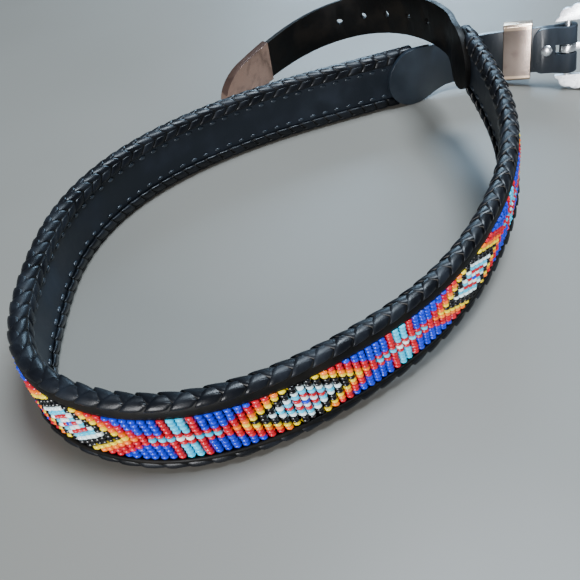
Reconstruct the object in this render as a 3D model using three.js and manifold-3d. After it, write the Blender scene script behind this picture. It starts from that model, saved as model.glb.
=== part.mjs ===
// A beaded western belt standing on its lower edge in an open loop, millimetres, +Z up.
//
// The belt follows one route, from the buckle along the back of the loop, round its left end and
// its front, up its right side, over the buckle's own billet and down behind it to the metal tip.
// A place on the belt is (s, n, h): s along the route, n outwards from its middle, h up from the
// belt's lower edge.

import * as THREE from 'three';
import { mergeVertices } from 'three/addons/utils/BufferGeometryUtils.js';
import Module from 'manifold-3d';

const wasm = await Module();
wasm.setup();

// Driving sizes
const BELT_WIDTH = 34;
const LOOP_WIDTH = 220;
const LOOP_DEPTH = 250;
const BACKING_THICKNESS = 2.2;
const LINING_THICKNESS = 1.5;
const BEAD_PANEL_THICKNESS = 2.9;
const BEAD_PANEL_WIDTH = 21;
const LACE_THICKNESS = 1.9;
const LACE_INNER_THICKNESS = 1.5;
const LACE_CORNER = 1.4;
const BILLET_WIDTH = 25.4;
const BILLET_THICKNESS = 2.8;
const BILLET_LENGTH = 96.5;
const SHOULDER_LENGTH = 28;
const FOLD_LENGTH = 8;
const TURNBACK_LENGTH = 19.5;
const TURNBACK_ROUND = 6;
const TURNBACK_NARROWING = 0.55;
const TAIL_LENGTH = 220;
const TAIL_HOLES = 5;
const TAIL_HOLE_SPACING = 17.4;
const TAIL_HOLE_RADIUS = 2;
const FIRST_HOLE_FROM_END = 104;
const TIP_LENGTH = 46;
const TIP_NOSE = 20;
const TIP_WALL = 0.8;
const TIP_SEAT = 20;
const KEEPER_LENGTH = 16;
const KEEPER_WALL = 1.1;
const KEEPER_RIM = 2.6;
const KEEPER_CHAMFER = 1.2;
const KEEPER_ROOM = 3.4;
const BAR_AT = 30.5;
const BAR_RADIUS = 2;
const BUCKLE_HEIGHT = 48;
const BUCKLE_LENGTH = 46;
const BUCKLE_THICKNESS = 4;
const BUCKLE_RIM = 8.8;
const BUCKLE_EAR = 8;
const SCALLOPS = 22;
const SCALLOP_DEPTH = 1.1;
const PRONG_HEIGHT = 4;
const PRONG_THICKNESS = 2.4;
const STUD_FROM_BAR = 11.5;
const STUD_RADIUS = 3.3;
const STUD_SHANK_RADIUS = 1.6;
const STUD_CAP = 1.2;
const STUD_DOME = 0.7;

// Clearances
const GAP = 0.3;
const SLOT_GAP = 0.7;
const KEEPER_GAP = 1.2;

// Mesh steps
const STEP = 8;
const ROUND_STEPS = 8;
const ROUND_START = 0.35;
const ROUTE_STEPS = 30;
const HOLE_SIDES = 12;

const STRAP_COLOUR = 0x17181b;
const LINING_COLOUR = 0x24272b;
const BEAD_COLOUR = 0x2f5fe0;
const SILVER_COLOUR = 0xd9dade;
const ROSE_COLOUR = 0xc79a83;

// The buckle is taller than the belt, so it lifts the billet's end.
const BUCKLE_LIFT = (BUCKLE_HEIGHT - BELT_WIDTH) / 2;
const HALF_WIDTH = BELT_WIDTH / 2;

// Guide points of the route, seen from above: x and y as shares of half the loop's width and depth,
// rise of the lower edge in millimetres, and outward lean in degrees.
const ROUTE = [
  { x: 1.90, y: 0.76, rise: 1.60 * BUCKLE_LIFT, lean: 14 },
  { x: 1.54, y: 0.905, rise: 0.56 * BUCKLE_LIFT, lean: 9 },
  { x: 1.25, y: 1.03, rise: 0.09 * BUCKLE_LIFT, lean: 4 },
  { x: 0.92, y: 0.98, rise: 0, lean: 0 },
  { x: 0.57, y: 0.89, rise: 0, lean: 0 },
  { x: 0.21, y: 0.81, rise: 0, lean: 0 },
  { x: -0.155, y: 0.69, rise: 0, lean: -1 },
  { x: -0.49, y: 0.52, rise: 0, lean: -2 },
  { x: -0.755, y: 0.29, rise: 0, lean: -2 },
  { x: -0.905, y: -0.01, rise: 0, lean: 0 },
  { x: -0.92, y: -0.33, rise: 0, lean: 3 },
  { x: -0.915, y: -0.63, rise: 0, lean: 2 },
  { x: -0.78, y: -0.835, rise: 0, lean: 0 },
  { x: -0.49, y: -0.965, rise: 0, lean: 0 },
  { x: -0.17, y: -0.955, rise: 0, lean: 0 },
  { x: 0.165, y: -0.835, rise: 0.03 * BELT_WIDTH, lean: 1 },
  { x: 0.47, y: -0.685, rise: 0.12 * BELT_WIDTH, lean: 1 },
  { x: 0.70, y: -0.48, rise: 0.26 * BELT_WIDTH, lean: 0 },
  { x: 0.875, y: -0.25, rise: 0.41 * BELT_WIDTH, lean: -2 },
  { x: 0.985, y: 0, rise: 0.55 * BELT_WIDTH, lean: -6 },
  { x: 1.01, y: 0.285, rise: 0.69 * BELT_WIDTH, lean: -8 },
  { x: 0.995, y: 0.575, rise: 0.82 * BELT_WIDTH, lean: -7 },
  { x: 0.985, y: 0.85, rise: 0.905 * BELT_WIDTH, lean: -8 },
  { x: 0.865, y: 1.13, rise: 0.865 * BELT_WIDTH, lean: -12 },
  { x: 0.645, y: 1.365, rise: 0.65 * BELT_WIDTH, lean: -12 },
  { x: 0.325, y: 1.41, rise: 0.40 * BELT_WIDTH, lean: -10 },
  { x: 0.02, y: 1.26, rise: 0.15 * BELT_WIDTH, lean: -11 },
  { x: -0.22, y: 1.01, rise: -0.05 * BELT_WIDTH, lean: -11 },
];

/** The smooth route: a cubic B-spline through the guide points, measured by its own length. */
class Route {
  constructor(rows) {
    const guides = rows.map((row) => [
      row.x * LOOP_WIDTH / 2, row.y * LOOP_DEPTH / 2, row.rise, row.lean,
    ]);
    const reach = (end, next) => end.map((value, i) => 2 * value - next[i]);
    const ends = [reach(guides[0], guides[1]), reach(guides.at(-1), guides.at(-2))];
    const all = [ends[0], ...guides, ends[1]];
    this.samples = [];
    for (let i = 0; i + 3 < all.length; i += 1) {
      for (let j = 0; j < ROUTE_STEPS; j += 1) {
        this.samples.push(Route.blend(all.slice(i, i + 4), j / ROUTE_STEPS));
      }
    }
    this.samples.push(guides.at(-1));
    this.lengths = [0];
    for (let i = 1; i < this.samples.length; i += 1) {
      const [a, b] = [this.samples[i - 1], this.samples[i]];
      this.lengths.push(this.lengths[i - 1] + Math.hypot(b[0] - a[0], b[1] - a[1], b[2] - a[2]));
    }
    this.length = this.lengths.at(-1);
  }

  static blend(four, t) {
    const weights = [
      (1 - t) ** 3 / 6,
      (3 * t ** 3 - 6 * t ** 2 + 4) / 6,
      (-3 * t ** 3 + 3 * t ** 2 + 3 * t + 1) / 6,
      t ** 3 / 6,
    ];
    return four[0].map((_, k) => four.reduce((sum, point, i) => sum + weights[i] * point[k], 0));
  }

  /** x, y, rise and lean at the length s, straight on past the ends. */
  values(s) {
    const last = this.lengths.length - 1;
    let i = this.lengths.findIndex((length) => length > s) - 1;
    if (i === -2) i = last - 1;
    i = Math.min(Math.max(i, 0), last - 1);
    const t = (s - this.lengths[i]) / (this.lengths[i + 1] - this.lengths[i]);
    return this.samples[i].map((value, k) => value + t * (this.samples[i + 1][k] - value));
  }

  /** The belt's own axes: ahead along it, outward and level, and up its face. */
  axes(s) {
    const [a, b] = [this.values(s - 1), this.values(s + 1)];
    const ahead = new THREE.Vector3(b[0] - a[0], b[1] - a[1], b[2] - a[2]).normalize();
    const outward = new THREE.Vector3(ahead.y, -ahead.x, 0).normalize();
    const lean = THREE.MathUtils.degToRad(this.values(s)[3]);
    const up = outward.clone().cross(ahead).multiplyScalar(Math.cos(lean));
    return { ahead, outward, up: up.addScaledVector(outward, Math.sin(lean)) };
  }

  place(s, n, h) {
    const { outward, up } = this.axes(s);
    const [x, y, rise] = this.values(s);
    return new THREE.Vector3(x, y, rise).addScaledVector(outward, n).addScaledVector(up, h);
  }
}

const route = new Route(ROUTE);
const BELT_START = BAR_AT + BILLET_LENGTH;
const BELT_END = route.length - TAIL_LENGTH;

// Layers of the belt, as distances outwards from the route
const BACKING_INNER = -BACKING_THICKNESS / 2;
const BACKING_OUTER = BACKING_THICKNESS / 2;
const LINING_OUTER = BACKING_INNER - GAP;
const LINING_INNER = LINING_OUTER - LINING_THICKNESS;
const PANEL_INNER = BACKING_OUTER + GAP;
const PANEL_OUTER = PANEL_INNER + BEAD_PANEL_THICKNESS;
const LACE_INSIDE = LINING_INNER - GAP - LACE_INNER_THICKNESS;
const TONGUE_MIDDLE = LINING_INNER - GAP - BILLET_THICKNESS / 2;
const LACE_LEG = (BELT_WIDTH - BEAD_PANEL_WIDTH) / 2 - GAP;
const EDGE_INSET = LACE_THICKNESS + GAP;

const smooth = (t) => THREE.MathUtils.smoothstep(t, 0, 1);

function stations(from, to, step = STEP) {
  const count = Math.max(1, Math.round(Math.abs(to - from) / step));
  return Array.from({ length: count + 1 }, (_, i) => from + (to - from) * i / count);
}

/** A closed mesh through rings of points, one ring for each section, capped at both ends. */
function loft(rings) {
  const size = rings[0].length;
  const points = rings.flat();
  const centre = rings[0].reduce((sum, p) => sum.add(p), new THREE.Vector3()).divideScalar(size);
  const next = rings[1].reduce((sum, p) => sum.add(p), new THREE.Vector3()).divideScalar(size);
  const ahead = next.sub(centre).normalize();
  const side = rings[0][1].clone().sub(rings[0][0]);
  side.addScaledVector(ahead, -side.dot(ahead)).normalize();
  const up = ahead.clone().cross(side);
  const flat = rings[0].map((p) => {
    const from = p.clone().sub(rings[0][0]);
    return new THREE.Vector2(from.dot(side), from.dot(up));
  });
  const turn = THREE.ShapeUtils.area(flat) > 0;
  const faces = [];
  const face = (a, b, c) => faces.push(...(turn ? [a, b, c] : [a, c, b]));
  for (let i = 0; i + 1 < rings.length; i += 1) {
    for (let j = 0; j < size; j += 1) {
      const [a, b] = [i * size + j, i * size + (j + 1) % size];
      face(a, b, b + size);
      face(a, b + size, a + size);
    }
  }
  const end = (rings.length - 1) * size;
  const caps = THREE.ShapeUtils.triangulateShape(turn ? flat : [...flat].reverse(), []);
  for (const cap of caps) {
    const [a, b, c] = turn ? cap : cap.map((k) => size - 1 - k);
    faces.push(c, b, a, end + a, end + b, end + c);
  }
  const geometry = new THREE.BufferGeometry();
  geometry.setAttribute('position', new THREE.Float32BufferAttribute(points.flatMap((p) => p.toArray()), 3));
  geometry.setIndex(faces);
  return geometry;
}

function solid(geometry) {
  let bare = geometry.clone();
  bare.deleteAttribute('normal');
  bare.deleteAttribute('uv');
  bare = mergeVertices(bare, 1e-4);
  return new wasm.Manifold(new wasm.Mesh({
    numProp: 3,
    vertProperties: Float32Array.from(bare.attributes.position.array),
    triVerts: Uint32Array.from(bare.index.array),
  }));
}

function surface(manifold) {
  const mesh = manifold.getMesh();
  const geometry = new THREE.BufferGeometry();
  geometry.setAttribute('position', new THREE.BufferAttribute(mesh.vertProperties, 3));
  geometry.setIndex(new THREE.BufferAttribute(mesh.triVerts, 1));
  return geometry;
}

const cut = (body, tools) => surface(tools.reduce((left, tool) => left.subtract(solid(tool)), solid(body)));
const join = (bodies) => surface(bodies.map(solid).reduce((all, body) => all.add(body)));

/** A solid through sections on the belt; a section is [s, corners] and a corner is [n, h]. */
const toPoints = ([s, corners]) => corners.map(([n, h]) => route.place(s, n, h));
const skin = (sections) => loft(sections.map(toPoints));
const along = (places, section) => skin(places.map((s) => [s, section(s)]));

const oblong = (inner, outer, low, high) => [[inner, low], [outer, low], [outer, high], [inner, high]];
const upright = (middle, thickness, half) => (
  oblong(middle - thickness / 2, middle + thickness / 2, HALF_WIDTH - half, HALF_WIDTH + half));

/** Geometry built lying along X, with Z up and -Y outwards, stood half-way up the belt at s. */
function standAt(geometry, s) {
  const { ahead, up } = route.axes(s);
  const matrix = new THREE.Matrix4().makeBasis(ahead, up.clone().cross(ahead), up);
  return geometry.clone().applyMatrix4(matrix.setPosition(route.place(s, 0, HALF_WIDTH)));
}

const finish = (color, roughness, metalness = 0) => (
  new THREE.MeshStandardMaterial({ color, roughness, metalness }));
const strapLeather = finish(STRAP_COLOUR, 0.4);
const liningLeather = finish(LINING_COLOUR, 0.35);
const laceLeather = finish(STRAP_COLOUR, 0.3);
const glassBeads = finish(BEAD_COLOUR, 0.2);
const silver = finish(SILVER_COLOUR, 0.22, 1);
const roseMetal = finish(ROSE_COLOUR, 0.3, 1);

const belt = new THREE.Group();

function add(name, geometry, material, group = belt) {
  const mesh = new THREE.Mesh(geometry, material);
  mesh.name = name;
  group.add(mesh);
  return mesh;
}

const beltPlaces = stations(BELT_START, BELT_END);

// The strap's own leather, its lining and the woven bead panel

add('strap_leather', along(beltPlaces,
  () => oblong(BACKING_INNER, BACKING_OUTER, EDGE_INSET, BELT_WIDTH - EDGE_INSET)), strapLeather);

add('lining', along(beltPlaces,
  () => oblong(LINING_INNER, LINING_OUTER, EDGE_INSET, BELT_WIDTH - EDGE_INSET)), liningLeather);

const panelLow = HALF_WIDTH - BEAD_PANEL_WIDTH / 2;
add('bead_panel', along(beltPlaces,
  () => oblong(PANEL_INNER, PANEL_OUTER, panelLow, panelLow + BEAD_PANEL_WIDTH)), glassBeads);

// The buckle billet: a rounded tongue on the lining, a shoulder, and a narrow strap turned back round
// the bar.

const WRAP_RADIUS = BAR_RADIUS + GAP + BILLET_THICKNESS / 2;
const LAYER_MIDDLE = (BILLET_THICKNESS + GAP) / 2;
const BILLET_HALF = BILLET_WIDTH / 2;

/** Angles round a tongue's half round, from its tip to the belt's end. */
const ROUND_ANGLES = Array.from(
  { length: ROUND_STEPS }, (_, i) => (i + ROUND_START) / ROUND_STEPS * Math.PI / 2);

/** How far a narrow strap has come in at a distance past the belt's end, 0 to 1. */
const shoulder = (past) => smooth(past / SHOULDER_LENGTH);
const shoulderHalf = (past) => THREE.MathUtils.lerp(HALF_WIDTH, BILLET_HALF, shoulder(past));

function tongue(end, direction) {
  return ROUND_ANGLES.map((angle) => {
    const half = HALF_WIDTH * Math.sin(angle);
    return [end + direction * HALF_WIDTH * Math.cos(angle), upright(TONGUE_MIDDLE, BILLET_THICKNESS, half)];
  });
}

function buckleBillet() {
  const fork = BAR_AT + FOLD_LENGTH;
  const apart = (s) => (
    THREE.MathUtils.lerp(LAYER_MIDDLE, WRAP_RADIUS, smooth(1 - (s - BAR_AT) / FOLD_LENGTH)));
  const foldPlaces = stations(fork, BAR_AT, STEP / 3);
  const front = stations(BELT_START, fork, STEP / 2).map((s) => {
    const past = BELT_START - s;
    const middle = THREE.MathUtils.lerp(TONGUE_MIDDLE, LAYER_MIDDLE, shoulder(past));
    return [s, upright(middle, BILLET_THICKNESS, shoulderHalf(past))];
  });
  const fold = foldPlaces.slice(1).map((s) => [s, upright(apart(s), BILLET_THICKNESS, BILLET_HALF)]);
  const turnback = (s, half) => [s, upright(-apart(s), -BILLET_THICKNESS, half)];
  const back = [...foldPlaces].reverse().map((s) => turnback(s, BILLET_HALF));
  for (let i = ROUND_STEPS - 1; i > 0; i -= 1) {
    const angle = i / ROUND_STEPS * Math.PI / 2;
    const s = BAR_AT + TURNBACK_LENGTH - TURNBACK_ROUND * (1 - Math.cos(angle));
    back.push(turnback(s, BILLET_HALF * (1 - TURNBACK_NARROWING * (1 - Math.sin(angle)))));
  }
  const outside = [...tongue(BELT_START, 1), ...front, ...fold];
  return loft([...outside.map(toPoints), ...wrap(), ...back.map(toPoints)]);
}

/** The billet's rings round the bar. */
function wrap() {
  const { ahead, outward, up } = route.axes(BAR_AT);
  const middle = route.place(BAR_AT, 0, HALF_WIDTH);
  const rings = [];
  for (let i = 1; i < ROUND_STEPS; i += 1) {
    const angle = Math.PI * i / ROUND_STEPS;
    const radial = outward.clone().multiplyScalar(Math.cos(angle));
    radial.addScaledVector(ahead, -Math.sin(angle));
    rings.push([[-1, -1], [1, -1], [1, 1], [-1, 1]].map(([side, end]) => (
      middle.clone()
        .addScaledVector(radial, WRAP_RADIUS + side * BILLET_THICKNESS / 2)
        .addScaledVector(up, end * BILLET_HALF))));
  }
  return rings;
}

const studPlace = BAR_AT + STUD_FROM_BAR;
const studBore = STUD_SHANK_RADIUS + GAP;
const studHole = standAt(new THREE.CylinderGeometry(studBore, studBore, BELT_WIDTH, HOLE_SIDES), studPlace);
const slotReach = WRAP_RADIUS + BILLET_THICKNESS;
const prongSlot = standAt(
  new THREE.BoxGeometry(2 * slotReach, 4 * slotReach, PRONG_HEIGHT + 2 * SLOT_GAP), BAR_AT);
add('buckle_billet', cut(buckleBillet(), [studHole, prongSlot]), strapLeather);

// The stud that holds the turnback

const studSpan = BILLET_THICKNESS + GAP / 2 + GAP;
const studProfile = [
  [0, -studSpan - STUD_CAP], [STUD_RADIUS * STUD_DOME, -studSpan - STUD_CAP * STUD_DOME],
  [STUD_RADIUS, -studSpan], [STUD_SHANK_RADIUS, -studSpan], [STUD_SHANK_RADIUS, studSpan],
  [STUD_RADIUS, studSpan], [STUD_RADIUS * STUD_DOME, studSpan + STUD_CAP * STUD_DOME],
  [0, studSpan + STUD_CAP],
].map(([r, y]) => new THREE.Vector2(r, y));
add('billet_stud', standAt(new THREE.LatheGeometry(studProfile, HOLE_SIDES), studPlace), silver);

// The tail: a tongue on the lining, a shoulder, a narrow strap with its holes, and the metal tip

const TAIL_END = route.length - TIP_LENGTH + TIP_SEAT;

function tailBand() {
  const places = [
    ...stations(BELT_END, BELT_END + SHOULDER_LENGTH, STEP / 2),
    ...stations(BELT_END + SHOULDER_LENGTH, TAIL_END).slice(1),
  ];
  return skin([...tongue(BELT_END, -1), ...places.map((s) => {
    const middle = THREE.MathUtils.lerp(TONGUE_MIDDLE, 0, shoulder(s - BELT_END));
    return [s, upright(middle, BILLET_THICKNESS, shoulderHalf(s - BELT_END))];
  })]);
}

const tailHoles = Array.from({ length: TAIL_HOLES }, (_, i) => standAt(
  new THREE.CylinderGeometry(TAIL_HOLE_RADIUS, TAIL_HOLE_RADIUS, 4 * BILLET_THICKNESS, HOLE_SIDES),
  route.length - FIRST_HOLE_FROM_END - i * TAIL_HOLE_SPACING));
add('tail_strap', cut(tailBand(), tailHoles), strapLeather);

function tipShell() {
  const depth = BILLET_THICKNESS / 2 + GAP + TIP_WALL;
  const half = BILLET_HALF + GAP + TIP_WALL;
  const start = route.length - TIP_LENGTH;
  const noseStart = route.length - TIP_NOSE;
  const nose = [...ROUND_ANGLES].reverse().map((angle) => (
    [noseStart + TIP_NOSE * Math.cos(angle), upright(0, 2 * depth, half * Math.sin(angle))]));
  const sleeve = stations(start, noseStart).map((s) => [s, upright(0, 2 * depth, half)]);
  const pocket = along(stations(start - STEP, TAIL_END + GAP, STEP / 2),
    () => upright(0, 2 * (depth - TIP_WALL), half - TIP_WALL));
  return cut(skin([...sleeve, ...nose]), [pocket]);
}
add('metal_tip', tipShell(), roseMetal);

// The laced edges: a leather lace wound round each edge, cut back round the two tongues

function laceSection(upper) {
  const [inside, outside] = [LACE_INSIDE, PANEL_OUTER + GAP / 2];
  const corners = [
    [inside, LACE_LEG], [inside, LACE_CORNER], [inside + LACE_CORNER, 0], [outside - LACE_CORNER, 0],
    [outside, LACE_CORNER], [outside, LACE_LEG], [PANEL_INNER, LACE_LEG], [PANEL_INNER, LACE_THICKNESS],
    [LINING_INNER - GAP, LACE_THICKNESS], [LINING_INNER - GAP, LACE_LEG],
  ];
  return upper ? corners.map(([n, h]) => [n, BELT_WIDTH - h]) : corners;
}

/** The room that a tongue takes up inside the lacing. */
function tongueRoom(end, direction) {
  const reach = HALF_WIDTH + 2 * GAP;
  const section = (half) => (
    oblong(TONGUE_MIDDLE - BILLET_THICKNESS, LINING_INNER, HALF_WIDTH - half, HALF_WIDTH + half));
  const round = ROUND_ANGLES.map((angle) => (
    [end + direction * reach * Math.cos(angle), section(reach * Math.sin(angle))]));
  return skin([...round, [end - direction * STEP, section(reach)]]);
}

const tongueCuts = [tongueRoom(BELT_START, 1), tongueRoom(BELT_END, -1)];
add('bottom_lacing', cut(along(beltPlaces, () => laceSection(false)), tongueCuts), laceLeather);
add('top_lacing', cut(along(beltPlaces, () => laceSection(true)), tongueCuts), laceLeather);

// The keeper: a metal loop round the billet, with room outside it for the tail

function keeperLoop() {
  const inner = LAYER_MIDDLE - BILLET_THICKNESS / 2 - KEEPER_GAP;
  const outer = LAYER_MIDDLE + BILLET_THICKNESS / 2 + KEEPER_ROOM;
  const half = BILLET_HALF + KEEPER_GAP;
  const [left, right, top] = [inner - KEEPER_WALL, outer + KEEPER_WALL, half + KEEPER_RIM];
  const [innerSide, outerSide, side] = [left + KEEPER_CHAMFER, right - KEEPER_CHAMFER, top - KEEPER_CHAMFER];
  const outline = new THREE.Shape([
    [innerSide, -top], [outerSide, -top], [right, -side], [right, side],
    [outerSide, top], [innerSide, top], [left, side], [left, -side],
  ].map(([n, h]) => new THREE.Vector2(n, h)));
  const block = new THREE.ExtrudeGeometry(outline, { depth: KEEPER_LENGTH, bevelEnabled: false });
  const room = new THREE.BoxGeometry(outer - inner, 2 * half, 4 * KEEPER_LENGTH);
  room.translate((inner + outer) / 2, 0, 0);
  block.translate(0, 0, -KEEPER_LENGTH / 2);
  const loop = cut(block, [room]);
  loop.applyMatrix4(new THREE.Matrix4().makeBasis(
    new THREE.Vector3(0, -1, 0), new THREE.Vector3(0, 0, 1), new THREE.Vector3(-1, 0, 0)));
  return standAt(loop, BAR_AT + TURNBACK_LENGTH + KEEPER_GAP + KEEPER_LENGTH / 2);
}
add('keeper', keeperLoop(), roseMetal);

// The buckle: a scalloped frame open towards the billet, its bar, and the prong on the bar

function scallopedRim() {
  const [halfLength, halfHeight] = [BUCKLE_LENGTH / 2, BUCKLE_HEIGHT / 2];
  const count = SCALLOPS * 4;
  return Array.from({ length: count }, (_, i) => {
    const angle = 2 * Math.PI * i / count;
    const [c, s] = [Math.cos(angle), Math.sin(angle)];
    const reach = (Math.abs(c) ** 4 + Math.abs(s) ** 4) ** -0.25;
    const inset = SCALLOP_DEPTH * (1 - Math.abs(Math.cos(SCALLOPS / 2 * angle)));
    return new THREE.Vector2(
      BUCKLE_EAR - halfLength + (halfLength - inset) * reach * c, (halfHeight - inset) * reach * s);
  });
}

function buckleFrame() {
  const plate = new THREE.ExtrudeGeometry(
    new THREE.Shape(scallopedRim()), { depth: BUCKLE_THICKNESS, bevelEnabled: false });
  plate.translate(0, 0, -BUCKLE_THICKNESS / 2);
  plate.rotateX(Math.PI / 2);
  const windowHeight = BUCKLE_HEIGHT - 2 * BUCKLE_RIM;
  const windowLength = BUCKLE_LENGTH - BUCKLE_RIM + STEP;
  const opening = new THREE.BoxGeometry(windowLength, 4 * BUCKLE_THICKNESS, windowHeight);
  opening.translate(BUCKLE_EAR - BUCKLE_LENGTH + BUCKLE_RIM + windowLength / 2, 0, 0);
  const bar = new THREE.CylinderGeometry(BAR_RADIUS, BAR_RADIUS, windowHeight + BUCKLE_RIM, HOLE_SIDES);
  bar.rotateX(Math.PI / 2);
  return surface(solid(plate).subtract(solid(opening)).add(solid(bar)));
}
add('buckle_frame', standAt(buckleFrame(), BAR_AT), silver);

function buckleProng() {
  const eye = new THREE.Shape();
  eye.absarc(0, 0, BAR_RADIUS + GAP + PRONG_THICKNESS, 0, 2 * Math.PI);
  const bore = new THREE.Path();
  bore.absarc(0, 0, BAR_RADIUS + GAP, 0, 2 * Math.PI, true);
  eye.holes.push(bore);
  const ring = new THREE.ExtrudeGeometry(eye, { depth: PRONG_HEIGHT, bevelEnabled: false, curveSegments: 8 });
  ring.translate(0, 0, -PRONG_HEIGHT / 2);
  const reach = BUCKLE_LENGTH - BUCKLE_EAR - BUCKLE_RIM / 3;
  const arm = new THREE.BoxGeometry(reach, PRONG_THICKNESS, PRONG_HEIGHT);
  arm.translate(-reach / 2, -(BAR_RADIUS + GAP + PRONG_THICKNESS / 2), 0);
  return join([ring, arm]);
}
add('prong', standAt(buckleProng(), BAR_AT), silver);

// The origin is under the middle of the whole belt, on the surface that it stands on.
const extents = new THREE.Box3().setFromObject(belt, true);
belt.position.set(-(extents.min.x + extents.max.x) / 2, -(extents.min.y + extents.max.y) / 2, 0);

export default belt;
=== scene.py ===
"""A beaded western belt that stands on its lower edge in an open loop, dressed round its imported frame.

The belt is modelled straight, in belt coordinates, and then laid along the belt's own route: s runs
along the belt from the buckle, n runs outwards from its middle and h runs up from its lower edge, all
in millimetres. Blender's own units are metres.
"""

from __future__ import annotations

import logging
import math
from dataclasses import dataclass, field
from enum import Enum
from functools import partial

import bmesh
import bpy
import numpy as np
from bpy.types import ID, Material, Node, NodeSocket, NodeTree, Object
from mathutils import Matrix, Vector

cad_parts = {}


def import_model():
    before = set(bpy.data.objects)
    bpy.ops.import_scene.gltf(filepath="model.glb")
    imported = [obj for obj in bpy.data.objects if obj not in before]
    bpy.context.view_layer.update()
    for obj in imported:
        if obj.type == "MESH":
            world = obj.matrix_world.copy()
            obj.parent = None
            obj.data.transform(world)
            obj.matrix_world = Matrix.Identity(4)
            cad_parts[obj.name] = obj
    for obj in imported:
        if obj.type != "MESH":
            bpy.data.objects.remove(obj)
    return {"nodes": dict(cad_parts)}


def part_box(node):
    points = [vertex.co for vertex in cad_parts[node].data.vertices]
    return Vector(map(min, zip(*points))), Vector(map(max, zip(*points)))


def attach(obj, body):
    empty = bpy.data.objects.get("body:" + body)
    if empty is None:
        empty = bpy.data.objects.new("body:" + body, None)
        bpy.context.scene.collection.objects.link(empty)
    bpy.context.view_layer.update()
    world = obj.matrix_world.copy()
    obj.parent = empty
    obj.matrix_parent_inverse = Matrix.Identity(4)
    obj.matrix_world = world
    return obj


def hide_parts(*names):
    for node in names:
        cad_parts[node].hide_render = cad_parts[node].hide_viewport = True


LOG = logging.getLogger("beaded_belt")
MM = 0.001
Pair = tuple[float, float]
Triple = tuple[float, float, float]
Colour = tuple[float, float, float, float]


class Slot(Enum):
    """The material slots."""

    STRAP = "strap_leather"
    LINING = "lining_leather"
    LACE = "lace_leather"
    BEADS = "glass_beads"
    SILVER = "silver_metal"
    ROSE = "rose_metal"


class Edge(Enum):
    """The belt's two long edges."""

    TOP = "top"
    BOTTOM = "bottom"


def add_node(tree: NodeTree, kind: str, settings: dict, inputs: dict) -> Node:
    """Adds a node to a tree.

    Args:
        tree: the material's or the geometry's tree.
        kind: the node's type.
        settings: its own properties, set first.
        inputs: values or sockets, by the input's name or number.

    Returns:
        The node.
    """
    added = tree.nodes.new(kind)
    for name, value in settings.items():
        setattr(added, name, value)
    for name, value in inputs.items():
        if isinstance(value, NodeSocket):
            tree.links.new(value, added.inputs[name])
        else:
            added.inputs[name].default_value = value
    return added


class Socket:
    """A socket in a material's tree, with arithmetic that adds Math nodes."""

    def __init__(self, tree: "MaterialTree", socket: NodeSocket) -> None:
        """Keeps the tree and the socket."""
        self.tree = tree
        self.socket = socket

    def _math(self, operation: str, first: object, second: object) -> "Socket":
        """Adds one Math node.

        Args:
            operation: the Math node's operation.
            first: its first value or socket.
            second: its second value or socket.

        Returns:
            The node's result.
        """
        return self.tree.node("ShaderNodeMath", {"operation": operation}, {0: first, 1: second})

    def __add__(self, other: object) -> "Socket":
        """Adds a value or socket."""
        return self._math("ADD", self, other)

    __radd__ = __add__

    def __mul__(self, other: object) -> "Socket":
        """Multiplies by a value or socket."""
        return self._math("MULTIPLY", self, other)

    __rmul__ = __mul__

    def __sub__(self, other: object) -> "Socket":
        """Subtracts a value or socket."""
        return self._math("SUBTRACT", self, other)

    def __rsub__(self, other: object) -> "Socket":
        """Subtracts this socket from a value."""
        return self._math("SUBTRACT", other, self)


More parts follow.
